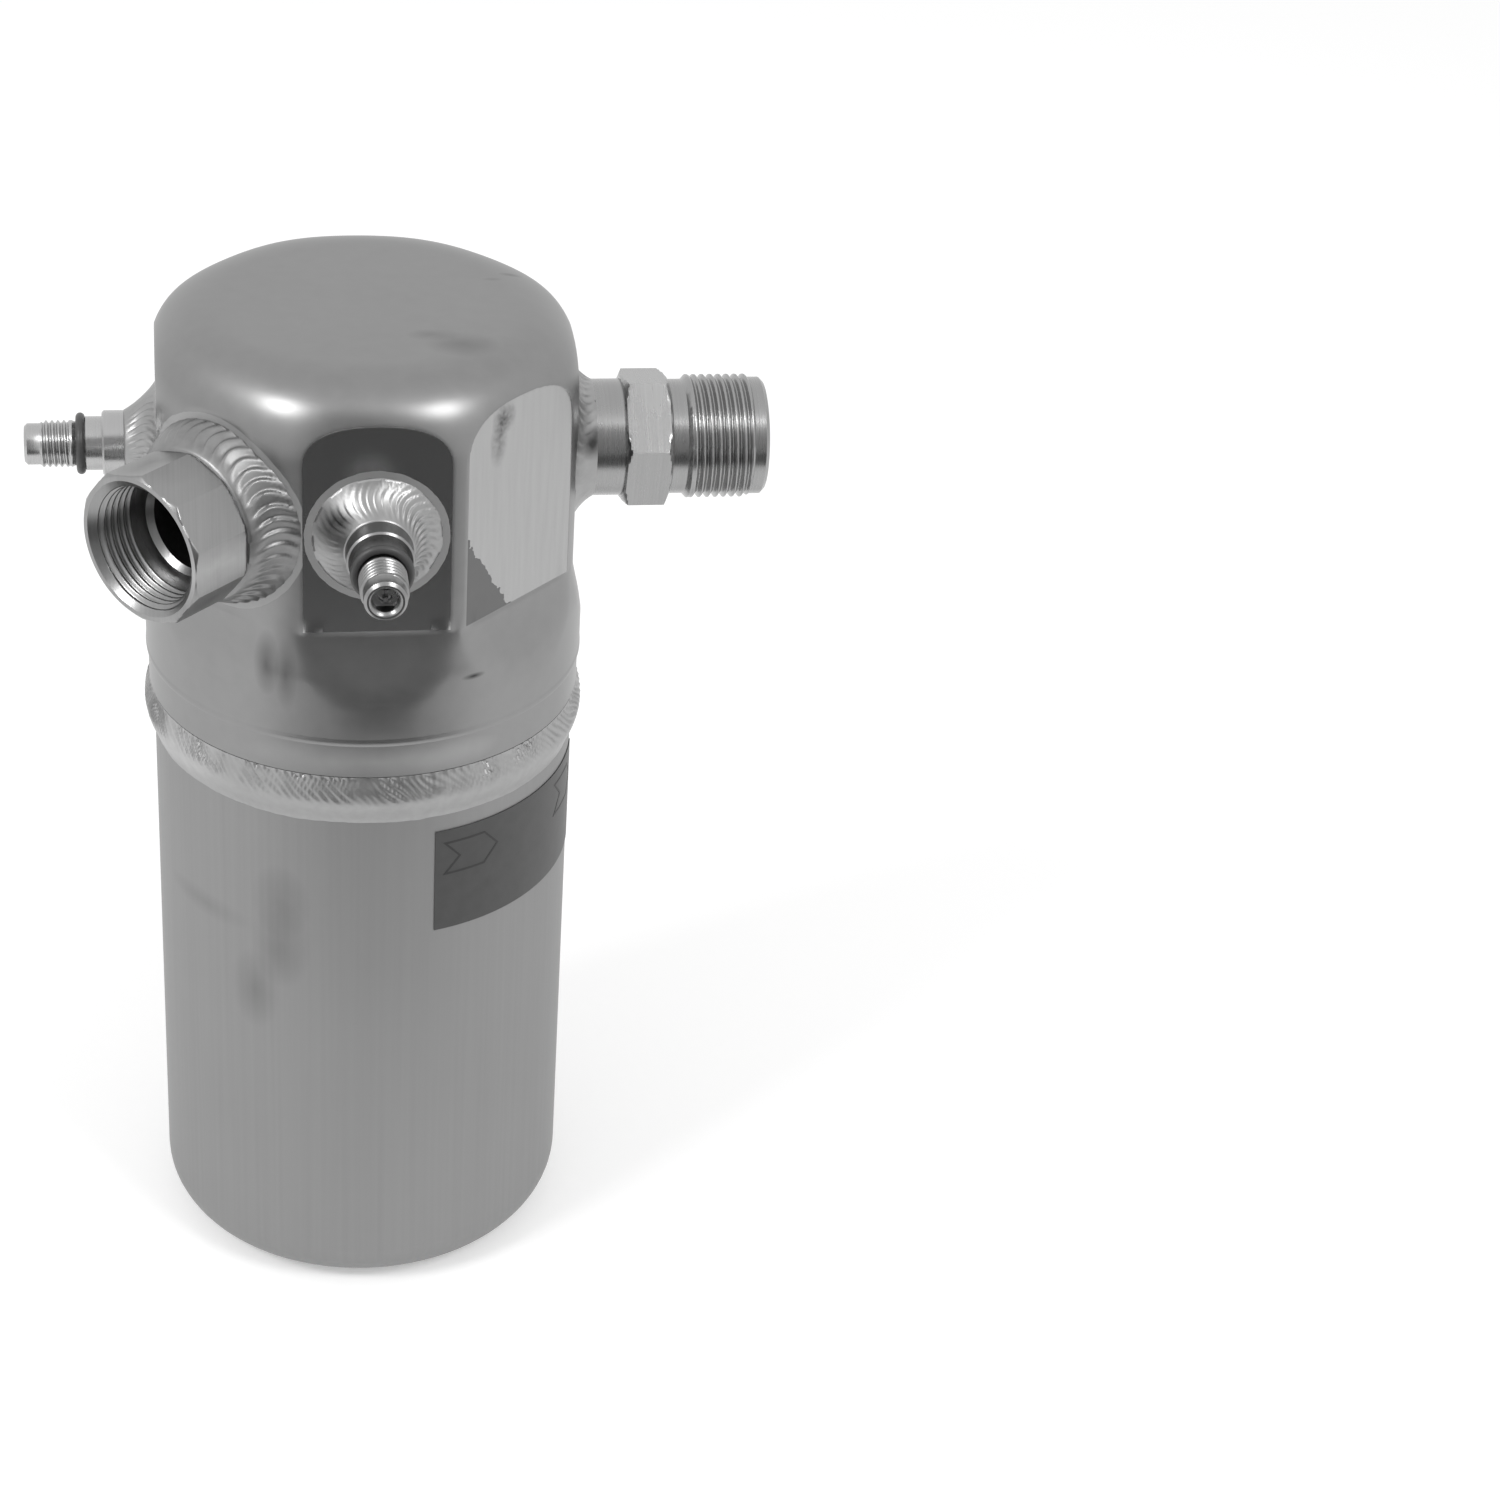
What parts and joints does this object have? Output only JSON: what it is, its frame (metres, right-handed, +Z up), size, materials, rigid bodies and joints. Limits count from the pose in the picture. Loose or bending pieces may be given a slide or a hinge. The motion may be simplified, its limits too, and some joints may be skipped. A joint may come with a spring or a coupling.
{
  "type": "air conditioning accumulator",
  "caption": "Welded aluminium refrigerant can with an octagonal head, a threaded inlet and outlet, and service ports with spring-loaded valve pins.",
  "frame": {"origin": "centre of the can's flat base", "axes": "+Z up the can's axis, +X out of the male outlet, -Y out of the front service port, -X out of the side service port; the female inlet points midway between -X and -Y"},
  "size_m": [0.1589, 0.121, 0.2313],
  "materials": {
    "can": "satin drawn aluminium with a fine upright grain",
    "head": "satin forged aluminium, milled bright on the flats",
    "weld": "bright rippled weld bead",
    "fitting": "turned aluminium, bright",
    "port": "turned aluminium",
    "ring_rubber": "smooth matt rubber",
    "core_metal": "turned plated metal",
    "pin_metal": "drawn steel",
    "gasket_plastic": "white sealing plastic",
    "seal_rubber": "matt rubber",
    "spring_wire": "drawn spring wire",
    "tube": "drawn aluminium",
    "screen_plastic": "moulded plastic with a woven mesh",
    "deflector": "pressed aluminium",
    "bag_felt": "felt",
    "tie_plastic": "moulded plastic",
    "label_film": "matt dark grey film"
  },
  "bodies": {
    "root": {"lower_shell": "can", "upper_shell": "head", "girth_weld": "weld", "inlet_fitting": "fitting", "inlet_weld": "weld", "outlet_fitting": "fitting", "outlet_weld": "weld", "front_port": "port", "front_port_weld": "weld", "front_port_ring": "ring_rubber", "front_valve_core": "core_metal", "front_core_gasket": "gasket_plastic", "front_valve_spring": "spring_wire", "side_port": "port", "side_port_weld": "weld", "side_port_ring": "ring_rubber", "side_valve_core": "core_metal", "side_core_gasket": "gasket_plastic", "side_valve_spring": "spring_wire", "suction_tube": "tube", "oil_screen": "screen_plastic", "vapour_deflector": "deflector", "desiccant_bag": "bag_felt", "bag_tie": "tie_plastic", "label": "label_film"},
    "front_pin": {"front_valve_pin": "pin_metal", "front_valve_seal": "seal_rubber"},
    "side_pin": {"side_valve_pin": "pin_metal", "side_valve_seal": "seal_rubber"}
  },
  "joints": [
    {"name": "front_pin_press", "type": "slide", "parent": "root", "child": "front_pin", "axis": [0, 1, 0], "range_m": [0, 0.0014], "stiffness_N_per_m": 800, "springref_m": -0.002, "deforming": ["front_valve_spring"]},
    {"name": "side_pin_press", "type": "slide", "parent": "root", "child": "side_pin", "axis": [1, 0, 0], "range_m": [0, 0.0014], "stiffness_N_per_m": 800, "springref_m": -0.002, "deforming": ["side_valve_spring"]}
  ]
}
